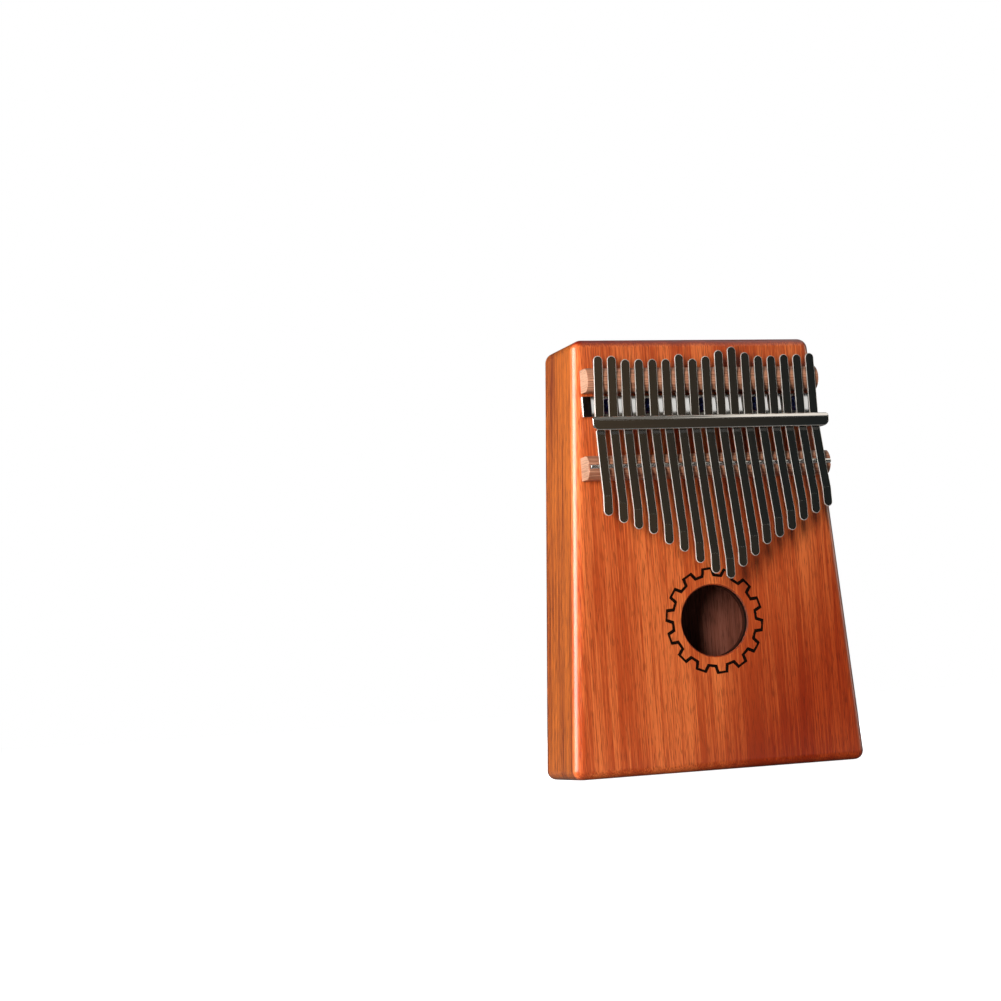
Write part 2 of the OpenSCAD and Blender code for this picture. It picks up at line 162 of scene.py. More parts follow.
class TineSettings(PropertyGroup):
    """Sizes of the tines and of the steel that holds them."""

    width: metres("Width", "Width of a tine", 0.004)
    thickness: metres("Thickness", "Thickness of a tine", 0.001)
    edge: metres("Edge", "Radius worn on the edges of a tine", 0.00022)
    pitch: metres("Pitch", "Distance between neighbours at the bridge", 0.0063)
    fan: degrees("Fan", "Angle that each tine turns out from its inner neighbour", 0.17)
    seat_gap: metres("Seat Gap", "Gap between a tine and each bar that holds it", 0.0003)
    blade_rise: degrees("Blade Rise", "Angle at which the free ends rise from the board", 10.5)
    tip_flat: metres("Flat Tip", "Length of the flat playing tip", 0.00822)
    tip_bend: metres("Tip Bend", "Radius of the bend before the flat tip", 0.0008)
    press_shoulder: metres("Pressure Bar Shoulder", "Radius of the shoulder over its face", 0.0022)
    press_turn: degrees("Shoulder Turn", "Angle through which the shoulder turns", 64)
    press_lean: degrees("Face Lean", "Angle at which the face of the pressure bar leans down", 3.5)
    press_toe: metres("Pressure Bar Edge", "Radius round the edge of the pressure bar's face", 0.0005)
    press_rim: metres("Pressure Bar Rim", "Thickness of the face of the pressure bar at its ends", 0.0008)
    press_undercut: degrees("End Undercut", "Angle at which its ends are cut back behind the face", 35)
    press_belly: metres("Pressure Bar Belly", "Radius of the curve under the pressure bar", 0.011)
    press_corner: metres("Pressure Bar Corner", "Radius of the lower corners at its ends", 0.0028)
    plate_thickness: metres("Clamp Plate", "Thickness of the clamp plate", 0.0024)
    plate_width: metres("Clamp Plate Width", "Width of the clamp plate", 0.009)
    plate_lean: degrees("Clamp Plate Lean", "Angle at which the face of the clamp plate leans back", 2)
    lug_thickness: metres("Lug Thickness", "Thickness of the lugs between the tines", 0.0014)
    lug_width: metres("Lug Width", "Width of the lugs along the tines", 0.0044)


class FinishSettings(PropertyGroup):
    """Colours of the woods and metals."""

    front_light: rgb("Front, Light", "Paler streaks of the front board", (0.97, 0.222, 0.054))
    front_dark: rgb("Front, Dark", "Darker streaks of the front board", (0.60, 0.082, 0.015))
    front_tint: rgb("Front, Tint", "Deeper tint towards the lower right", (0.64, 0.37, 0.24))
    # Painted shade: the front board's top rim is darkened where it faces up, away from the lamps
    rim_shade: rgb("Front, Rim Tint", "Darker tint of the top rim's end grain", (0.36, 0.07, 0.045))
    side_light: rgb("Side, Light", "Golden streaks of the side planks", (0.52, 0.122, 0.0118))
    side_dark: rgb("Side, Dark", "Brown streaks of the side planks", (0.150, 0.0198, 0.0035))
    bar_light: rgb("Bar, Light", "Paler streaks of the wooden bars", (0.72, 0.340, 0.200))
    bar_dark: rgb("Bar, Dark", "Darker streaks of the wooden bars", (0.36, 0.125, 0.066))
    # Painted light: the end-grain colours are paler than the bar's, as if the ends were lit from the side
    end_light: rgb("End Grain, Light", "Paler specks on the ends of the bars", (0.52, 0.295, 0.190))
    end_dark: rgb("End Grain, Dark", "Darker specks on the ends of the bars", (0.40, 0.210, 0.130))
    raw_light: rgb("Raw, Light", "Paler streaks of the wood inside", (0.31, 0.105, 0.068))
    raw_dark: rgb("Raw, Dark", "Darker streaks of the wood inside", (0.185, 0.054, 0.032))
    burnt: rgb("Burnt", "Charred wood of the toothed line", (0.006, 0.003, 0.002))
    chrome: rgb("Chrome", "Plated steel of the bars and the rod", (0.74, 0.72, 0.69))
    steel: rgb("Steel", "Polished spring steel of the tines", (0.68, 0.65, 0.61))
    edge: rgb("Ground Edge", "Ground edges of the tines", (0.86, 0.80, 0.73))
    dull: rgb("Dull Steel", "Unpolished undersides of the tines", (0.10, 0.09, 0.08))
    zinc: rgb("Blued Zinc", "Plating of the clamp screws", (0.08, 0.10, 0.36))


class StageSettings(PropertyGroup):
    """Camera and lights of the studio."""

    camera_place: FloatVectorProperty(
        name="Camera", description="Place of the camera",
        default=(-0.3836, -0.8549, 0.0321), subtype="TRANSLATION")
    camera_yaw: degrees("Yaw", "Turn of the camera towards the right side", 19.19)
    camera_pitch: degrees("Pitch", "Upward tilt of the camera", 5.51)
    camera_roll: degrees("Roll", "Roll of the camera about its view", -3.76)
    camera_lens: FloatProperty(
        name="Lens", description="Focal length on a 36 mm sensor, in millimetres", default=77.18)
    key_radiance: brightness("Key Light", "the small soft box at the front left", 45.0)
    side_radiance: brightness("Side Light", "the wide soft box at the left", 8.8)
    back_radiance: brightness("Back Light", "the soft box behind on the right", 6.0)
    fill_strength: brightness("Fill Light", "the room's own light", 0.02)
    mirror_strength: brightness("Mirrored Room", "the room in polished surfaces", 0.03)


def settings(group):
    """The named settings of the open scene."""
    return getattr(bpy.context.scene, "thumb_piano_" + group)


# Meshes

def only(kind, items):
    """The items of one kind out of a mixed list."""
    return [item for item in items if isinstance(item, kind)]


def draw_lines(bm, pen, *points):
    """Draws straight edges from a vertex through depths and heights, and returns the last vertex."""
    for y, z in points:
        pen = bmesh.ops.extrude_vert_indiv(bm, verts=[pen])["verts"][0]
        pen.co = (0, y, z)
    return pen


def draw_arc(bm, pen, centre, angle, steps):
    """Draws an arc from a vertex round a centre, seen along X, and returns the last vertex."""
    swung = bmesh.ops.spin(
        bm, geom=[pen], cent=centre, axis=(-1, 0, 0), angle=angle, steps=steps, use_duplicate=False)
    return only(BMVert, swung["geom_last"])[0]


def thicken(bm, face, way):
    """Draws a face out to a solid."""
    grown = bmesh.ops.extrude_face_region(bm, geom=[face])["geom"]
    bmesh.ops.translate(bm, verts=only(BMVert, grown), vec=way)
    bmesh.ops.recalc_face_normals(bm, faces=bm.faces)


def draw_out(bm, length):
    """Closes a drawn outline to a face and draws it out along X, half to each side."""
    bmesh.ops.remove_doubles(bm, verts=bm.verts, dist=MERGE)
    face = bmesh.ops.contextual_create(bm, geom=bm.edges[:])["faces"][0]
    bmesh.ops.translate(bm, verts=bm.verts, vec=(-length / 2, 0, 0))
    thicken(bm, face, (length, 0, 0))


def slab(corners, near_y, far_y):
    """A flat board between two depths, its corners given across and up."""
    bm = bmesh.new()
    outline = [bm.verts.new((x, near_y, z)) for x, z in corners]
    face = bmesh.ops.contextual_create(bm, geom=outline)["faces"][0]
    thicken(bm, face, (0, far_y - near_y, 0))
    return bm


def block(bm, low, high):
    """Adds a plain block between two corners and returns its vertices."""
    low, high = Vector(low), Vector(high)
    place = Matrix.Translation((low + high) / 2) @ Matrix.Diagonal((*(high - low), 1))
    return bmesh.ops.create_cube(bm, size=1, matrix=place)["verts"]


def ring(bm, radius, steps, y, z):
    """A circle of edges that faces the front, round a middle at depth y and height z."""
    place = Matrix.Translation((0, y, z)) @ Matrix.Rotation(math.pi / 2, 4, "X")
    return bmesh.ops.create_circle(bm, radius=radius, segments=steps, matrix=place)["verts"]


def round_edges(bm, edges, radius, steps, clamp=True):
    """Rounds edges to a radius and returns the new faces."""
    return bmesh.ops.bevel(
        bm, geom=edges, offset=radius, offset_type="OFFSET", affect="EDGES", segments=steps,
        profile=0.5, material=-1, clamp_overlap=clamp)["faces"]


def sharp_edges(bm):
    """The outward corners of a closed mesh that are turned sharply."""
    return [
        edge for edge in bm.edges
        if edge.is_manifold and edge.is_convex and edge.calc_face_angle() > SHARP_ANGLE
    ]


def edges_among(verts):
    """The edges that join vertices of one loop."""
    chosen = set(verts)
    touching = dict.fromkeys(edge for vert in verts for edge in vert.link_edges)
    return [edge for edge in touching if set(edge.verts) <= chosen]


def facing(bm, way, least=0.5):
    """The faces that look one way, by at least a share."""
    return [face for face in bm.faces if face.normal.dot(Vector(way)) > least]


def flat_faces(bm, y):
    """The faces that lie flat at a depth."""
    return [face for face in bm.faces if all(abs(vert.co.y - y) < MERGE for vert in face.verts)]


def paint(faces, finishes, name):
    """Gives faces the named one of their piece's finishes."""
    for face in faces:
        face.material_index = finishes.index(name)


def cut(bm, place, normal, trim=False):
    """Cuts a mesh along a plane; a trimmed one loses what lies beyond and is closed again."""
    geometry = bm.verts[:] + bm.edges[:] + bm.faces[:]
    made = bmesh.ops.bisect_plane(bm, geom=geometry, plane_co=place, plane_no=normal, clear_outer=trim)
    rim = only(BMEdge, made["geom_cut"])
    if trim and rim:
        bmesh.ops.edgenet_fill(bm, edges=rim)


def open_flat_face(bm, y):
    """Takes out the flat face at a depth and returns the edges round the opening."""
    flat = flat_faces(bm, y)
    edges = dict.fromkeys(edge for face in flat for edge in face.edges)
    rim = [edge for edge in edges if len(set(flat).intersection(edge.link_faces)) == 1]
    bmesh.ops.delete(bm, geom=flat, context="FACES_ONLY")
    return rim


def fill_between(bm, *loops):
    """Fills the flat space between loops of edges and returns the faces."""
    edges = [edge for loop in loops for edge in loop]
    filled = bmesh.ops.triangle_fill(bm, edges=edges, use_beauty=True, use_dissolve=False)["geom"]
    return only(BMFace, filled)


def sink(bm, edges, depth, scale=1.0, middle=(0, 0, 0)):
    """Draws a loop of edges back by a depth, scaled about a middle, and returns the new loop and its wall."""
    grown = bmesh.ops.extrude_edge_only(bm, edges=edges)["geom"]
    verts = only(BMVert, grown)
    loop = [edge for edge in only(BMEdge, grown) if set(edge.verts) <= set(verts)]
    bmesh.ops.scale(bm, verts=verts, vec=(scale, 1, scale), space=Matrix.Translation(-Vector(middle)))
    bmesh.ops.translate(bm, verts=verts, vec=(0, depth, 0))
    return loop, only(BMFace, grown)


def add_object(name, data):
    """A new object in the open scene."""
    made = bpy.data.objects.new(name, data)
    bpy.context.scene.collection.objects.link(made)
    return made


def add_mesh(name, bm, materials):
    """A finished bmesh as a new object."""
    mesh = bpy.data.meshes.new(name)
    bm.to_mesh(mesh)
    bm.free()
    for material in materials:
        mesh.materials.append(material)
    return add_object(name, mesh)


def new_piece(name, bm, finishes, nodes):
    """Makes a finished bmesh a piece that stands for the named nodes."""
    bmesh.ops.remove_doubles(bm, verts=bm.verts, dist=MERGE)
    bmesh.ops.recalc_face_normals(bm, faces=bm.faces)
    for face in bm.faces:
        face.smooth = True
    for edge in bm.edges:
        edge.smooth = edge.is_manifold and edge.calc_face_angle() < SHARP_ANGLE
    piece = add_mesh(name, bm, [finish(each) for each in finishes])
    flats = piece.modifiers.new("Flat faces", "WEIGHTED_NORMAL")
    flats.keep_sharp = True
    flats.weight = 100
    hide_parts(*nodes)
    return piece


def fixed_piece(name, bm, finishes, node):
    """Makes a piece that stands for one node and stays with the box."""
    piece = new_piece(name, bm, finishes, [node])
    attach(piece, "box")


def plank_lean():
    """The angle at which the side planks lean in towards the top."""
    box = settings("box")
    return math.atan2((box.bottom_width - box.top_width) / 2, BODY_HEIGHT)


def rounded_board(outer_y, inner_y):
    """A board of the box's outline, rounded round its outer face and at its four corners."""
    box = settings("box")
    low, high = box.bottom_width / 2, box.top_width / 2
    bm = slab([(-low, 0), (low, 0), (high, BODY_HEIGHT), (-high, BODY_HEIGHT)], outer_y, inner_y)
    rim = [edge for edge in bm.edges if any(abs(vert.co.y - outer_y) < MERGE for vert in edge.verts)]
    round_edges(bm, rim, box.edge_radius, steps=10)
    bmesh.ops.remove_doubles(bm, verts=bm.verts, dist=MERGE)
    return bm


def toothed_ring(bm, out):
    """One closed run of the toothed line in the front face, moved out by a distance."""
    box = settings("box")
    tip_angle = box.tooth_tip_angle + math.atan(out / box.tooth_tip_radius)
    root_angle = box.tooth_root_angle + math.atan(out / box.tooth_root_radius)
    tip, root = box.tooth_tip_radius + out, box.tooth_root_radius + out
    tooth = [(root, -root_angle), (tip, -tip_angle), (tip, tip_angle), (root, root_angle)]
    verts = ring(bm, root, len(tooth) * box.teeth, FRONT_Y, box.hole_height)
    verts.sort(key=lambda vert: math.atan2(vert.co.z - box.hole_height, vert.co.x))
    for index, vert in enumerate(verts):
        radius, offset = tooth[index % len(tooth)]
        angle = box.tooth_phase + math.tau * (index // len(tooth)) / box.teeth + offset
        vert.co.x = radius * math.cos(angle)
        vert.co.z = box.hole_height + radius * math.sin(angle)
    return edges_among(verts)


def soundboard_mesh():
    """The front board with its sound hole and the toothed line sunk round it."""
    box = settings("box")
    bm = rounded_board(FRONT_Y, BOARD_HIGH.y)
    front_rim = open_flat_face(bm, FRONT_Y)
    back_rim = open_flat_face(bm, BOARD_HIGH.y)
    outer_line = toothed_ring(bm, box.line_width / 2)
    inner_line = toothed_ring(bm, -box.line_width / 2)
    mouth_radius = box.hole_radius + box.hole_chamfer
    mouth = edges_among(ring(bm, mouth_radius, steps=96, y=FRONT_Y, z=box.hole_height))
    fill_between(bm, front_rim, outer_line)
    fill_between(bm, inner_line, mouth)
    outer_floor, outer_wall = sink(bm, outer_line, box.line_depth)
    inner_floor, inner_wall = sink(bm, inner_line, box.line_depth)
    floor = fill_between(bm, outer_floor, inner_floor)
    middle = (0, 0, box.hole_height)
    throat, chamfer = sink(bm, mouth, box.hole_chamfer, box.hole_radius / mouth_radius, middle)
    waist, scorched = sink(bm, throat, box.scorch_depth)
    hole_back, wall = sink(bm, waist, BOARD_HIGH.y - FRONT_Y - box.hole_chamfer - box.scorch_depth)
    inside = fill_between(bm, back_rim, hole_back)
    # The rest of the board keeps the first finish
    # The back of the hole's wall takes the painted shade
    parts = ([], outer_wall + inner_wall + floor, scorched, inside, chamfer, wall)
    for name, faces in zip(BOARD_FINISHES, parts):
        paint(faces, BOARD_FINISHES, name)
    return bm


def side_plank_mesh():
    """The right-hand side plank, with its outer corners rounded."""
    box = settings("box")
    inset = box.side_thickness / math.cos(plank_lean())
    low, high = box.bottom_width / 2, box.top_width / 2
    corners = [(low - inset, 0), (low, 0), (high, BODY_HEIGHT), (high - inset, BODY_HEIGHT)]
    bm = slab(corners, BOARD_HIGH.y, BACK_LOW.y)
    paint(facing(bm, (-1, 0, 0)), SIDE_FINISHES["right"], "raw_inside")
    outer_edges = [edge for face in facing(bm, (1, 0, 0)) for edge in face.edges]
    level = [edge for edge in outer_edges if abs(edge.verts[0].co.z - edge.verts[1].co.z) < MERGE]
    round_edges(bm, level, box.edge_radius, steps=10)
    return bm


def bar_mesh(low, high, groove=None):
    """A wooden bar along X with flat sides and a round crown, which a rod's groove can interrupt."""
    radius = settings("box").crown_radius
    half = (high.z - low.z) / 2
    middle = (high.z + low.z) / 2
    crown_y = low.y + radius
    centre = (0, crown_y, middle)
    spread = math.asin(half / radius)
    bm = bmesh.new()
    pen = bm.verts.new((0, high.y, middle - half))
    pen = draw_lines(bm, pen, (crown_y - radius * math.cos(spread), middle - half))
    if groove is None:
        pen = draw_arc(bm, pen, centre, 2 * spread, steps=24)
    else:
        half_groove, floor_y = groove
        notch = math.asin(half_groove / radius)
        pen = draw_arc(bm, pen, centre, spread - notch, steps=12)
        low_z, high_z = middle - half_groove, middle + half_groove
        lip_y = crown_y - radius * math.cos(notch)
        pen = draw_lines(bm, pen, (floor_y, low_z), (floor_y, high_z), (lip_y, high_z))
        pen = draw_arc(bm, pen, centre, spread - notch, steps=12)
    draw_lines(bm, pen, (high.y, middle + half), (high.y, middle - half))
    draw_out(bm, high.x - low.x)
    # The ends get the end-grain finish, painted paler as painted light
    paint(facing(bm, (-1, 0, 0)) + facing(bm, (1, 0, 0)), BAR_FINISHES, "end_grain")
    round_edges(bm, sharp_edges(bm), BAR_EASE, steps=3)
    return bm


def rod_mesh():
    """The bridge rod with its ends eased."""
    place = Matrix.Translation((ROD_LOW + ROD_HIGH) / 2) @ Matrix.Rotation(math.pi / 2, 4, "Y")
    bm = bmesh.new()
    bmesh.ops.create_cone(
        bm, cap_ends=True, segments=48, radius1=ROD_RADIUS, radius2=ROD_RADIUS,
        depth=ROD_HIGH.x - ROD_LOW.x, matrix=place)
    round_edges(bm, sharp_edges(bm), ROD_RADIUS * ROD_EASE, steps=3)
    return bm


def clamp_plate_mesh():
    """The clamp plate, with the lugs that stand between the tines and hold the pressure bar."""
    tine = settings("tine")
    bm = bmesh.new()
    plate_y = FRONT_Y - tine.plate_thickness
    plate_low = PLATE_HIGH.z - tine.plate_width
    plate = block(bm, (PLATE_LOW.x, plate_y, plate_low), (PLATE_HIGH.x, FRONT_Y, PLATE_HIGH.z))
    plate_middle = plate_low + tine.plate_width / 2
    for vert in plate:
        if vert.co.y < FRONT_Y - MERGE:
            vert.co.y += (vert.co.z - plate_middle) * math.tan(tine.plate_lean)
    round_edges(bm, sharp_edges(bm), PLATE_EASE, steps=3)
    pitch = tine.pitch - math.tan(tine.fan) * (PRESS_Z - BRIDGE_Z)
    half = tine.lug_thickness / 2
    half_width = tine.lug_width / 2
    for place in LUG_PLACES:
        left, right = place * pitch - half, place * pitch + half
        block(bm, (left, plate_y, PRESS_Z), (right, FRONT_Y, plate_low + LUG_OVERLAP))
        block(bm, (left, PLATE_LOW.y, PRESS_Z - half_width), (right, FRONT_Y, PRESS_Z + half_width))
    return bm


def pressure_bar_mesh():
    """The pressure bar: a leaning face under a round shoulder, drawn along X, with rounded lower corners."""
    tine = settings("tine")
    low, high = PRESS_LOW.z, PRESS_HIGH.z
    face_y = PRESS_LOW.y
    belly_y = PRESS_HIGH.y - tine.press_belly
    belly_spread = math.asin((high - PRESS_Z) / tine.press_belly)
    back_y = belly_y + tine.press_belly * math.cos(belly_spread)
    shoulder_z = high - tine.press_shoulder * math.sin(tine.press_turn)
    toe_y = face_y + (shoulder_z - low) * math.tan(tine.press_lean)
    bm = bmesh.new()
    pen = bm.verts.new((0, back_y, low))
    pen = draw_lines(bm, pen, (toe_y, low), (face_y, shoulder_z))
    shoulder = (0, face_y + tine.press_shoulder, shoulder_z)
    pen = draw_arc(bm, pen, shoulder, tine.press_turn, steps=16)
    pen = draw_lines(bm, pen, (back_y, high))
    draw_arc(bm, pen, (0, belly_y, PRESS_Z), 2 * belly_spread, steps=8)
    length = PRESS_HIGH.x - PRESS_LOW.x
    draw_out(bm, length)
    for side in (-1, 1):
        centre = Vector((side * (length / 2 - tine.press_corner), 0, low + tine.press_corner))
        for step in range(1, CORNER_STEPS):
            angle = math.pi / 2 * step / CORNER_STEPS
            normal = Vector((side * math.sin(angle), 0, -math.cos(angle)))
            cut(bm, centre + normal * tine.press_corner, normal, trim=True)
        rim = Vector((side * length / 2, face_y + tine.press_rim, 0))
        back = (side * math.cos(tine.press_undercut), math.sin(tine.press_undercut), 0)
        cut(bm, rim, back, trim=True)
    bmesh.ops.recalc_face_normals(bm, faces=bm.faces)
    forward = set(facing(bm, (0, -1, 0), least=0.3))
    outline = [edge for edge in sharp_edges(bm) if forward.intersection(edge.link_faces)]
    round_edges(bm, outline, tine.press_toe, steps=4, clamp=False)
    return bm


def tine_seat(index):
    """Where the middle of a tine crosses the bridge rod, and how it turns with the fan."""
    tine = settings("tine")
    out = index - MIDDLE_TINE
    place = Matrix.Translation((out * tine.pitch, FRONT_Y, BRIDGE_Z))
    return place @ Matrix.Rotation(-out * tine.fan, 4, "Y")


def bend_steps(place, run, turn, steps):
    """Splits a bend over a run into equal small turns."""
    return [(place + run * (step + 0.5) / steps, turn / steps) for step in range(steps)]


def tine_course(index):
    """A tine's tail end and first slope, its bends, the ends of its straight blade, and its length."""
    tine = settings("tine")
    turn = math.cos((index - MIDDLE_TINE) * tine.fan)
    node = f"tine_{index + 1:02d}"
    tail = (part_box(node + "_root")[1].z - BRIDGE_Z) / turn
    reach = (BRIDGE_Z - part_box(node + "_blade")[0].z) / turn
    seat = tine.seat_gap + tine.thickness / 2
    rod_height = FRONT_Y - (ROD_LOW.y + ROD_HIGH.y) / 2 + ROD_RADIUS + seat
    press_height = FRONT_Y - PRESS_HIGH.y - seat
    stop_height = FRONT_Y - BACKSTOP_LOW.y + seat
    press_place = PRESS_Z - BRIDGE_Z
    stop_place = (BACKSTOP_LOW.z + BACKSTOP_HIGH.z) / 2 - BRIDGE_Z
    tail_slope = math.atan2(press_height - stop_height, stop_place - press_place)
    root_slope = math.atan2(rod_height - press_height, press_place)
    press_run = (tail - press_place) / math.cos(tail_slope)
    rod_run = press_run + press_place / math.cos(root_slope)
    tip_reach = reach - tine.tip_flat - tine.tip_bend * math.sin(tine.blade_rise)
    tip_run = rod_run + tip_reach / math.cos(tine.blade_rise)
    tip_arc = tine.tip_bend * tine.blade_rise
    bends = bend_steps(press_run - GRIP / 2, GRIP, root_slope - tail_slope, steps=4)
    bends += bend_steps(rod_run - GRIP / 2, GRIP, tine.blade_rise - root_slope, steps=2)
    bends += bend_steps(tip_run, tip_arc, -tine.blade_rise, steps=3)
    tail_height = press_height - (tail - press_place) * math.tan(tail_slope)
    start = Vector((0, -tail_height, tail))
    return start, tail_slope, bends, rod_run, tip_run, tip_run + tip_arc + tine.tip_flat


def tine_mesh(index):
    """One tine: a flat strip with round ends and worn edges, bent over the bridge and at its tip."""
    tine = settings("tine")
    start, slope, bends, rod_run, tip_run, length = tine_course(index)
    bm = bmesh.new()
    half = tine.width / 2
    block(bm, (-half, -tine.thickness / 2, -length), (half, tine.thickness / 2, 0))
    corners = [edge for edge in bm.edges if abs(edge.verts[0].co.y - edge.verts[1].co.y) > MERGE]
    round_edges(bm, corners, half * END_SHARE, steps=12)
    bmesh.ops.remove_doubles(bm, verts=bm.verts, dist=half * END_MERGE)
    paint(facing(bm, (0, 1, 0)), TINE_FINISHES, "dull_steel")
    paint(round_edges(bm, sharp_edges(bm), tine.edge, steps=4), TINE_FINISHES, "ground_edge")
    rows = [rod_run + (tip_run - rod_run) * row / BLADE_ROWS for row in range(1, BLADE_ROWS)]
    for place in [place for place, _ in bends] + rows:
        cut(bm, (0, 0, -place), (0, 0, 1))
    flat = {vert: -vert.co.z for vert in bm.verts}
    for place, turn in sorted(bends, reverse=True):
        beyond = [vert for vert, along in flat.items() if along > place + MERGE]
        bmesh.ops.rotate(bm, verts=beyond, cent=(0, 0, -place), matrix=Matrix.Rotation(-turn, 3, "X"))
    bmesh.ops.rotate(bm, verts=bm.verts, cent=(0, 0, 0), matrix=Matrix.Rotation(-slope, 3, "X"))
    bmesh.ops.translate(bm, verts=bm.verts, vec=start)
    bmesh.ops.transform(bm, matrix=tine_seat(index), verts=bm.verts)
    return bm


# Materials

# Sockets of the node that mixes two colours
MIX_SHARE, MIX_FIRST, MIX_SECOND, MIX_RESULT = 0, 6, 7, 2
# Half the range of a wood's figure that runs from its dark to its light colour
TONE_SPREAD = 0.075
# Way along which the front board deepens, and where that starts and ends
DEEP_WAY = (1, 0, -0.7)
DEEP_START, DEEP_END = -0.027, 0.0185
# How far under the top end the rim's painted shade starts and is full
RIM_START, RIM_FULL = 0.0035, 0.0012


def wire(tree, node, inputs):
    """Sets the inputs of a shader node, or links them to other nodes."""
    for key, value in inputs.items():
        if isinstance(value, bpy.types.NodeSocket):
            tree.links.new(value, node.inputs[key])
        else:
            node.inputs[key].default_value = value


def add_node(tree, kind, options=None, inputs=None):
    """Adds a shader node, sets its options, and sets or links its inputs."""
    node = tree.nodes.new(kind)
    for name, value in (options or {}).items():
        setattr(node, name, value)
    wire(tree, node, inputs or {})
    return node


def math_node(tree, operation, a, b=0.0, c=0.0):
    """The result of one sum."""
    return add_node(tree, "ShaderNodeMath", {"operation": operation}, {0: a, 1: b, 2: c}).outputs[0]


def weigh(tree, first, second, share):
    """Two values added, the first by a share and the second by the rest."""
    rest = math_node(tree, "MULTIPLY", second, 1 - share)
    return math_node(tree, "MULTIPLY_ADD", first, share, rest)


def object_coords(tree):
    """Places on the object, in metres."""
    return add_node(tree, "ShaderNodeTexCoord").outputs["Object"]


def streaks(tree, size, detail, offset=0.0, lean=0.0):
    """Noise in streaks of a given size along each axis, from 0 to 1, leaning to one side."""
    place = [-offset * length for length in size]
    inputs = {"Vector": object_coords(tree), "Scale": size, "Location": place, "Rotation": (0.0, lean, 0.0)}
    placed = add_node(tree, "ShaderNodeMapping", {"vector_type": "TEXTURE"}, inputs)
    inputs = {"Vector": placed.outputs["Vector"], "Scale": 1.0, "Detail": detail, "Roughness": 0.55}
    return add_node(tree, "ShaderNodeTexNoise", None, inputs).outputs["Fac"]


def rescale(tree, value, low, high, to_low=0.0, to_high=1.0):
    """Maps a value from one range to another, kept inside it."""
    inputs = {"Value": value, "From Min": low, "From Max": high, "To Min": to_low, "To Max": to_high}
    return add_node(tree, "ShaderNodeMapRange", {"clamp": True}, inputs).outputs["Result"]


def share_along(tree, way, start, end):
    """A share that grows from 0 to 1 between two places along a way."""
    inputs = {0: object_coords(tree), 1: way}
    place = add_node(tree, "ShaderNodeVectorMath", {"operation": "DOT_PRODUCT"}, inputs)
    return rescale(tree, place.outputs["Value"], start, end)


def mix_colours(tree, share, first, second, blend="MIX"):
    """Two colours mixed by a share."""
    options = {"data_type": "RGBA", "blend_type": blend}
    inputs = {MIX_SHARE: share, MIX_FIRST: first, MIX_SECOND: second}
    return add_node(tree, "ShaderNodeMix", options, inputs).outputs[MIX_RESULT]


def opaque(colour):
    """A colour with its alpha."""
    return (*colour, 1.0)


def scaled(colour, share):
    """A colour made darker or paler."""
    return [min(1.0, channel * share) for channel in colour]


def blank_material(name):
    """A new material with its shader."""
    material = bpy.data.materials.new(name)
    material.use_nodes = True
    return material, material.node_tree, material.node_tree.nodes["Principled BSDF"]


def faded(tree, colour, tint, way, start, end):
    """A colour that takes on a tint along a way."""
    tinted = mix_colours(tree, 1.0, colour, opaque(tint), "MULTIPLY")
    return mix_colours(tree, share_along(tree, way, start, end), colour, tinted)


def wood_material(
        name, light, dark, axis="Z", lacquer=0.0, contrast=1.0, coarse=1.0, fine=0.48, lean=0.0, fades=()):
    """Straight-grained wood: broad bands and ribbons, fine fibres and short dark pores along one axis."""
    material, tree, shader = blank_material(name)

    def grain(length, width, detail, offset):
        size = [length if each == axis else width * coarse for each in "XYZ"]
        return streaks(tree, size, detail, offset, lean)

    bands = grain(length=1.00, width=0.026, detail=1.0, offset=1.7)
    ribbons = grain(length=0.30, width=0.0060, detail=3.0, offset=0.0)
    fibres = grain(length=0.040 * coarse, width=0.0005, detail=2.0, offset=7.3)
    pores = grain(length=0.0060, width=0.00032, detail=1.0, offset=3.1)
    figure = weigh(tree, fibres, weigh(tree, bands, ribbons, share=0.65), share=fine)
    spread = TONE_SPREAD / contrast
    tone = rescale(tree, figure, 0.5 - spread, 0.5 + spread)
    colour = mix_colours(tree, tone, opaque(dark), opaque(light))
    pore_share = rescale(tree, pores, low=0.54, high=0.65, to_high=0.6)
    colour = mix_colours(tree, pore_share, colour, opaque(scaled(dark, share=0.45)))
    for fade in fades:
        colour = faded(tree, colour, **fade)
    relief = math_node(tree, "SUBTRACT", fibres, pore_share)
    bump = add_node(tree, "ShaderNodeBump", None, {"Height": relief, "Strength": 0.12, "Distance": 0.0002})
    wire(tree, shader, {
        "Base Color": colour,
        "Roughness": rescale(tree, fibres, low=0.3, high=0.7, to_low=0.36, to_high=0.48),
        "Normal": bump.outputs["Normal"],
        "Specular IOR Level": 0.2,
        "Coat Weight": lacquer,
        "Coat Roughness": 0.28,
        "Coat IOR": 1.55,
    })
    return material


def burnt_and_shaded_material(name, colour, lift):
    """Charred wood, darker and paler in patches; also the painted shade on the back of the hole's wall."""
    material, tree, shader = blank_material(name)
    patches = streaks(tree, size=(0.0012, 0.0012, 0.003), detail=3.0)
    tone = rescale(tree, patches, low=0.35, high=0.7)
    wire(tree, shader, {
        "Base Color": mix_colours(tree, tone, opaque(colour), opaque(scaled(colour, lift))),
        "Roughness": rescale(tree, patches, low=0.3, high=0.7, to_low=0.7, to_high=0.9),
        "Specular IOR Level": 0.15,
    })
    return material


def metal_material(name, colour, size, smooth, rough, metallic=1.0):
    """Polished or ground metal with faint streaks in its tone and polish."""
    material, tree, shader = blank_material(name)
    polish = streaks(tree, size, detail=3.0)
    tone = rescale(tree, polish, low=0.35, high=0.65)
    wire(tree, shader, {
        "Base Color": mix_colours(tree, tone, opaque(scaled(colour, share=0.93)), opaque(colour)),
        "Roughness": rescale(tree, polish, low=0.3, high=0.7, to_low=smooth, to_high=rough),
        "Metallic": metallic,
    })
    return material


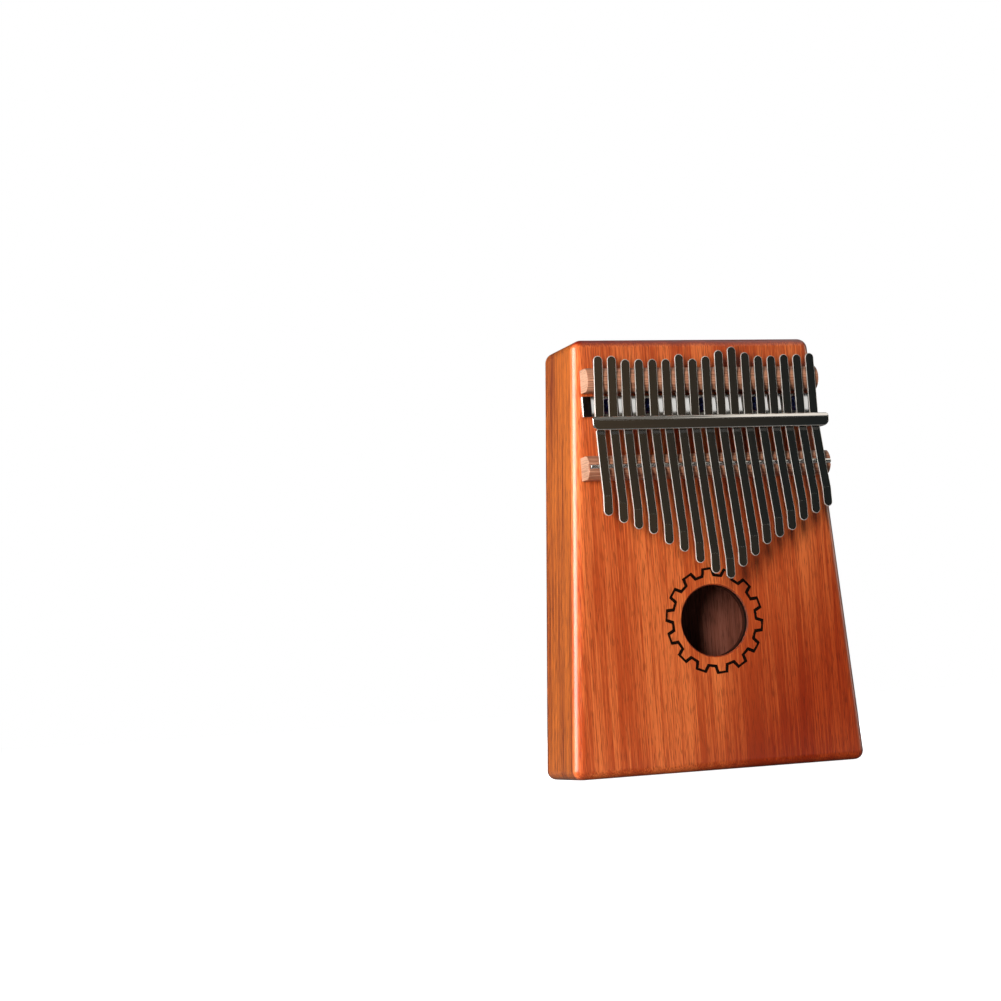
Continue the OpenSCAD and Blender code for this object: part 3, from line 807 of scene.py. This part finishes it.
def finish(name):
    """The named finish, made the first time that it is asked for."""
    made = bpy.data.materials.get(name)
    if made:
        return made
    look = settings("finish")

    def tones(wood):
        return {"light": getattr(look, wood + "_light"), "dark": getattr(look, wood + "_dark")}

    deep = {"tint": look.front_tint, "way": DEEP_WAY, "start": DEEP_START, "end": DEEP_END}
    # Painted shade on the top rim of the front board
    rim_start, rim_end = BODY_HEIGHT - RIM_START, BODY_HEIGHT - RIM_FULL
    rim = {"tint": look.rim_shade, "way": (0, 0, 1), "start": rim_start, "end": rim_end}
    side = {**tones("side"), "lacquer": 1.0}
    plank = {**side, "contrast": 1.5, "coarse": 1.3, "fine": 0.42}
    chrome = {"colour": look.chrome, "size": (0.02, 0.002, 0.002)}
    woods = {
        "lacquered_front": {
            **tones("front"), "lacquer": 1.0, "contrast": 1.4, "fine": 0.34, "fades": (deep, rim)},
        "lacquered_back": side,
        "lacquered_left": {**plank, "lean": plank_lean()},
        "lacquered_right": {**plank, "lean": -plank_lean()},
        "lacquered_rail": {**side, "axis": "X", "contrast": 1.1, "coarse": 1.2, "fine": 0.6},
        "bare_rim": {"light": look.front_dark, "dark": look.raw_dark},
        "oiled_bar": {**tones("bar"), "axis": "X", "lacquer": 0.15},
        # End-grain figure, painted paler than the bar as painted light
        "end_grain": {**tones("end"), "axis": "Y"},
        "raw_wood": {**tones("raw"), "axis": "X"},
        "raw_inside": tones("raw"),
    }
    burns_and_shade = {
        "burnt_line": {"colour": look.burnt, "lift": 1.8},
        "scorched_wall": {"colour": scaled(look.burnt, share=1.5), "lift": 2.0},
        # Painted shade: the back of the hole's wall, darkened as if in shade
        "browned_wall": {"colour": scaled(look.raw_dark, share=0.3), "lift": 1.6},
    }
    steel = {"colour": look.steel, "size": (0.0006, 0.002, 0.03)}
    edge = {"colour": look.edge, "size": (0.0006, 0.002, 0.01), "metallic": 0.3}
    metals = {
        "chrome_plate": {**chrome, "smooth": 0.04, "rough": 0.08},
        "satin_rod": {**chrome, "smooth": 0.16, "rough": 0.22},
        "satin_plate": {**chrome, "size": (0.0005, 0.002, 0.02), "smooth": 0.02, "rough": 0.04},
        "polished_steel": {**steel, "smooth": 0.05, "rough": 0.09},
        "ground_edge": {**edge, "smooth": 0.40, "rough": 0.50},
        "dull_steel": {"colour": look.dull, "size": (0.002, 0.002, 0.02), "smooth": 0.40, "rough": 0.55},
        "blued_plate": {"colour": look.zinc, "size": (0.002, 0.002, 0.002), "smooth": 0.18, "rough": 0.30},
    }
    for make, recipes in ((wood_material, woods), (burnt_and_shaded_material, burns_and_shade), (metal_material, metals)):
        if name in recipes:
            return make(name, **recipes[name])
    raise KeyError(name)


def refinish_node(node, name):
    """Gives a finish to a node that shows as it is."""
    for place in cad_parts[node].material_slots:
        place.material = finish(name)


# Stage

# The floor lies a hair under the object, so that their faces don't meet
FLOOR_DROP = 0.0002
FLOOR_REACH = 6.0
# Nearest distance that the camera sees
NEAR_CLIP = 0.05


def around(azimuth, distance, height):
    """A place round the object: azimuth 0 is straight in front and grows to the right, in degrees."""
    angle = math.radians(azimuth)
    return Vector((math.sin(angle) * distance, -math.cos(angle) * distance, height))


# Soft boxes with their width and height; two of them don't show in polished surfaces
LAMPS = {
    "side_light": {"place": around(-98, 0.70, 0.24), "size": (0.54, 0.52)},
    "key": {"place": around(-38, 0.90, 0.18), "size": (0.12, 0.40), "mirrored": False},
    "back_light": {"place": around(145, 0.90, 0.65), "size": (0.60, 0.60), "mirrored": False},
}

# Cards that show only in polished surfaces: the middle of each, its half sides, and its glow with any fade
CARDS = {
    "front_card": {
        "centre": (0.35, -0.75, 0.31), "across": (0.40, 0, 0), "up": (0, 0, 0.31),
        "near": (0.075, 0.055, 0.036), "far": (0.018, 0.021, 0.021), "start": 0.20, "end": 0.42,
    },
    "far_card": {
        "centre": (0.35, -0.74, 0.3146), "across": (0.40, 0, 0), "up": (0, 0, 0.0105),
        "near": (0.9, 0.9, 0.9),
    },
    "top_card": {
        "centre": (0.50, -0.45, 1.0), "across": (0.50, 0, 0), "up": (0, 0.85, 0), "way": (1, 0.195, 0),
        "near": (0.20, 0.19, 0.175), "far": (1.10, 1.04, 0.96), "start": 0.346, "end": 0.390,
    },
    "low_card": {
        "centre": (0.10, -0.068, 0.001), "across": (0.30, 0, 0), "up": (0, 0.038, 0),
        "near": (0.35, 0.34, 0.32),
    },
    "right_card": {
        "centre": around(84, 0.80, 0.15), "across": (-0.0073, -0.0696, 0), "up": (0, 0, 0.25),
        "near": (4.6, 4.2, 3.6),
    },
}


def area_lamp(name, radiance, place, size, mirrored=True):
    """A soft box of an even brightness, turned to the middle of the object."""
    lamp = bpy.data.lights.new(name, "AREA")
    lamp.shape = "RECTANGLE"
    lamp.size, lamp.size_y = size
    lamp.energy = radiance * math.pi * lamp.size * lamp.size_y
    holder = add_object(name, lamp)
    holder.location = place
    holder.rotation_mode = "QUATERNION"
    holder.rotation_quaternion = (Vector((0, 0, BODY_HEIGHT / 2)) - place).to_track_quat("-Z", "Y")
    holder.visible_glossy = mirrored


def stage_plane(name, centre, across, up, material):
    """A flat stage piece round a centre, given by its half sides."""
    bm = bmesh.new()
    across, up = Vector(across), Vector(up)
    turn = Matrix((across, up, across.cross(up))).transposed().to_4x4()
    place = Matrix.Translation(centre) @ turn
    bmesh.ops.create_grid(bm, x_segments=1, y_segments=1, size=1, matrix=place)
    plane = add_mesh(name, bm, [material])
    return plane


def empty_material(name):
    """A new material with no nodes yet."""
    material, tree, _ = blank_material(name)
    tree.nodes.clear()
    return material, tree


def show(tree, shader):
    """Shows a shader on the surface."""
    add_node(tree, "ShaderNodeOutputMaterial", None, {"Surface": shader.outputs[0]})


def glow_material(name, near, far=None, start=0.0, end=1.0, way=(1, 0, 0)):
    """A glow that is even, or changes from one colour to another between two places along a way."""
    material, tree = empty_material(name)
    colour = mix_colours(tree, share_along(tree, way, start, end), opaque(near), opaque(far or near))
    show(tree, add_node(tree, "ShaderNodeEmission", None, {"Color": colour}))
    return material


def mirror_card(name, centre, across, up, **glow):
    """A card that shows only in polished surfaces."""
    card = stage_plane(name, centre, across, up, glow_material(name + "_glow", **glow))
    card.visible_camera = False
    card.visible_diffuse = False
    card.visible_shadow = False


def by_ray(tree, camera, mirror, other):
    """One value for the camera, one for rays in mirrors and glass, and one for the light on surfaces."""
    path = add_node(tree, "ShaderNodeLightPath").outputs
    mirrored = math_node(tree, "MAXIMUM", path["Is Glossy Ray"], path["Is Transmission Ray"])
    level = rescale(tree, mirrored, 0.0, 1.0, other, mirror)
    return rescale(tree, path["Is Camera Ray"], 0.0, 1.0, level, camera)


def floor_material():
    """A pale floor that shows white where no shadow falls on it, and throws little light back up."""
    material, tree = empty_material("pale_floor")
    shade = by_ray(tree, camera=0.8, mirror=0.15, other=0.25)
    colour = add_node(tree, "ShaderNodeCombineColor", None, {0: shade, 1: shade, 2: shade}).outputs[0]
    diffuse = add_node(tree, "ShaderNodeBsdfDiffuse", None, {"Color": colour})
    away = add_node(tree, "ShaderNodeVectorMath", {"operation": "LENGTH"}, {0: object_coords(tree)})
    level = rescale(tree, away.outputs["Value"], low=0.3, high=0.9, to_low=0.92, to_high=1.0)
    strength = by_ray(tree, camera=level, mirror=0.0, other=0.0)
    glow = add_node(tree, "ShaderNodeEmission", None, {"Strength": strength})
    show(tree, add_node(tree, "ShaderNodeAddShader", None, {0: diffuse.outputs[0], 1: glow.outputs[0]}))
    return material


def light_room(fill, mirror):
    """A room that looks white, with a softer light of its own and a dim look in mirrors."""
    world = bpy.data.worlds.new("studio")
    bpy.context.scene.world = world
    world.use_nodes = True
    tree = world.node_tree
    strength = by_ray(tree, camera=1.0, mirror=mirror, other=fill)
    wire(tree, tree.nodes["Background"], {"Strength": strength, "Color": opaque((1, 1, 1))})


def aim_camera(stage):
    """Sets the camera at its place, turned, tilted and rolled."""
    lens = bpy.data.cameras.new("camera")
    lens.lens = stage.camera_lens
    lens.clip_start = NEAR_CLIP
    camera = add_object("camera", lens)
    turn = Matrix.Rotation(-stage.camera_yaw, 4, "Z")
    tilt = Matrix.Rotation(math.pi / 2 + stage.camera_pitch, 4, "X")
    roll = Matrix.Rotation(stage.camera_roll, 4, "Z")
    camera.matrix_world = Matrix.Translation(stage.camera_place) @ turn @ tilt @ roll
    bpy.context.scene.camera = camera


# Operators

class THUMBPIANO_OT_stage(Operator):
    """Set the floor, the lamps, the cards and the camera"""

    bl_idname = "thumb_piano.stage"
    bl_label = "Stage"

    def execute(self, context):
        stage = settings("stage")
        context.scene.view_settings.view_transform = "Standard"
        across, up = (FLOOR_REACH, 0, 0), (0, FLOOR_REACH, 0)
        stage_plane("floor", (0, 0, -FLOOR_DROP), across, up, floor_material())
        light_room(stage.fill_strength, stage.mirror_strength)
        area_lamp("side_light", stage.side_radiance, **LAMPS["side_light"])
        area_lamp("key", stage.key_radiance, **LAMPS["key"])
        area_lamp("back_light", stage.back_radiance, **LAMPS["back_light"])
        for name, card in CARDS.items():
            mirror_card(name, **card)
        aim_camera(stage)
        return {"FINISHED"}


class THUMBPIANO_OT_soundboard(Operator):
    """Build the lacquered front board with its sound hole and toothed line"""

    bl_idname = "thumb_piano.soundboard"
    bl_label = "Soundboard"

    def execute(self, context):
        fixed_piece("front_board", soundboard_mesh(), BOARD_FINISHES, "soundboard")
        return {"FINISHED"}


class THUMBPIANO_OT_back_plate(Operator):
    """Build the lacquered back board"""

    bl_idname = "thumb_piano.back_plate"
    bl_label = "Back Plate"

    def execute(self, context):
        bm = rounded_board(BACK_HIGH.y, BACK_LOW.y)
        paint(flat_faces(bm, BACK_LOW.y), SIDE_FINISHES["back"], "raw_inside")
        fixed_piece("back_board", bm, SIDE_FINISHES["back"], "back_plate")
        return {"FINISHED"}


class THUMBPIANO_OT_side_planks(Operator):
    """Build the two lacquered side planks"""

    bl_idname = "thumb_piano.side_planks"
    bl_label = "Side Planks"

    def execute(self, context):
        for side, turn in (("right", 1), ("left", -1)):
            bm = side_plank_mesh()
            bmesh.ops.scale(bm, verts=bm.verts, vec=(turn, 1, 1))
            fixed_piece(side + "_plank", bm, SIDE_FINISHES[side], side + "_side")
        return {"FINISHED"}


class THUMBPIANO_OT_blocks(Operator):
    """Finish the head block, the tail block and the pin block"""

    bl_idname = "thumb_piano.blocks"
    bl_label = "Blocks"

    def execute(self, context):
        refinish_node("head_block", "lacquered_rail")
        refinish_node("tail_block", "lacquered_rail")
        refinish_node("pin_block", "raw_wood")
        return {"FINISHED"}


class THUMBPIANO_OT_wooden_bars(Operator):
    """Build the backstop bar and the grooved bridge bar"""

    bl_idname = "thumb_piano.wooden_bars"
    bl_label = "Wooden Bars"

    def execute(self, context):
        backstop = bar_mesh(BACKSTOP_LOW, BACKSTOP_HIGH)
        fixed_piece("backstop_wood", backstop, BAR_FINISHES, "backstop_bar")
        groove = (ROD_RADIUS + ROD_CLEARANCE, ROD_HIGH.y + ROD_CLEARANCE)
        crown = Vector((BRIDGE_LOW.x, FRONT_Y - settings("box").bridge_height, BRIDGE_LOW.z))
        bridge = bar_mesh(crown, BRIDGE_HIGH, groove)
        fixed_piece("bridge_wood", bridge, BAR_FINISHES, "bridge_bar")
        return {"FINISHED"}


class THUMBPIANO_OT_bridge_rod(Operator):
    """Build the polished rod on the bridge"""

    bl_idname = "thumb_piano.bridge_rod"
    bl_label = "Bridge Rod"

    def execute(self, context):
        fixed_piece("polished_rod", rod_mesh(), ["satin_rod"], "bridge_rod")
        return {"FINISHED"}


class THUMBPIANO_OT_clamp(Operator):
    """Build the clamp plate and the pressure bar, and finish the clamp screws"""

    bl_idname = "thumb_piano.clamp"
    bl_label = "Clamp"

    def execute(self, context):
        fixed_piece("plated_clamp", clamp_plate_mesh(), ["satin_plate"], "clamp_plate")
        fixed_piece("plated_bar", pressure_bar_mesh(), ["chrome_plate"], "pressure_bar")
        refinish_node("clamp_screws", "blued_plate")
        return {"FINISHED"}


class THUMBPIANO_OT_tines(Operator):
    """Build every tine as one strip, bent from its held root to its free blade"""

    bl_idname = "thumb_piano.tines"
    bl_label = "Tines"

    def execute(self, context):
        for index in range(TINE_COUNT):
            node = f"tine_{index + 1:02d}"
            root, blade = node + "_root", node + "_blade"
            strip = new_piece(node, tine_mesh(index), TINE_FINISHES, [root, blade])
            seat = tine_seat(index)
            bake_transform(strip)
        return {"FINISHED"}


OPERATORS = (
    THUMBPIANO_OT_stage,
    THUMBPIANO_OT_soundboard,
    THUMBPIANO_OT_back_plate,
    THUMBPIANO_OT_side_planks,
    THUMBPIANO_OT_blocks,
    THUMBPIANO_OT_wooden_bars,
    THUMBPIANO_OT_bridge_rod,
    THUMBPIANO_OT_clamp,
    THUMBPIANO_OT_tines,
)


class THUMBPIANO_PT_panel(Panel):
    """Lists the pieces of the thumb piano"""

    bl_idname = "THUMBPIANO_PT_panel"
    bl_label = "Thumb Piano"
    bl_space_type = "VIEW_3D"
    bl_region_type = "UI"
    bl_category = "Thumb Piano"

    def draw(self, context):
        for operator in OPERATORS:
            self.layout.operator(operator.bl_idname)


GROUPS = {"box": BoxSettings, "tine": TineSettings, "finish": FinishSettings, "stage": StageSettings}
CLASSES = (*GROUPS.values(), *OPERATORS, THUMBPIANO_PT_panel)


def register():
    """Adds the classes and the settings to Blender."""
    for each in CLASSES:
        bpy.utils.register_class(each)
    for name, group in GROUPS.items():
        setattr(bpy.types.Scene, "thumb_piano_" + name, PointerProperty(type=group))


def unregister():
    """Takes the settings and the classes out of Blender again."""
    for name in GROUPS:
        delattr(bpy.types.Scene, "thumb_piano_" + name)
    for each in reversed(CLASSES):
        bpy.utils.unregister_class(each)


def main():
    """Builds every piece in order."""
    register()
    for operator in OPERATORS:
        family, name = operator.bl_idname.split(".")
        getattr(getattr(bpy.ops, family), name)()


if __name__ == "__main__":
    main()
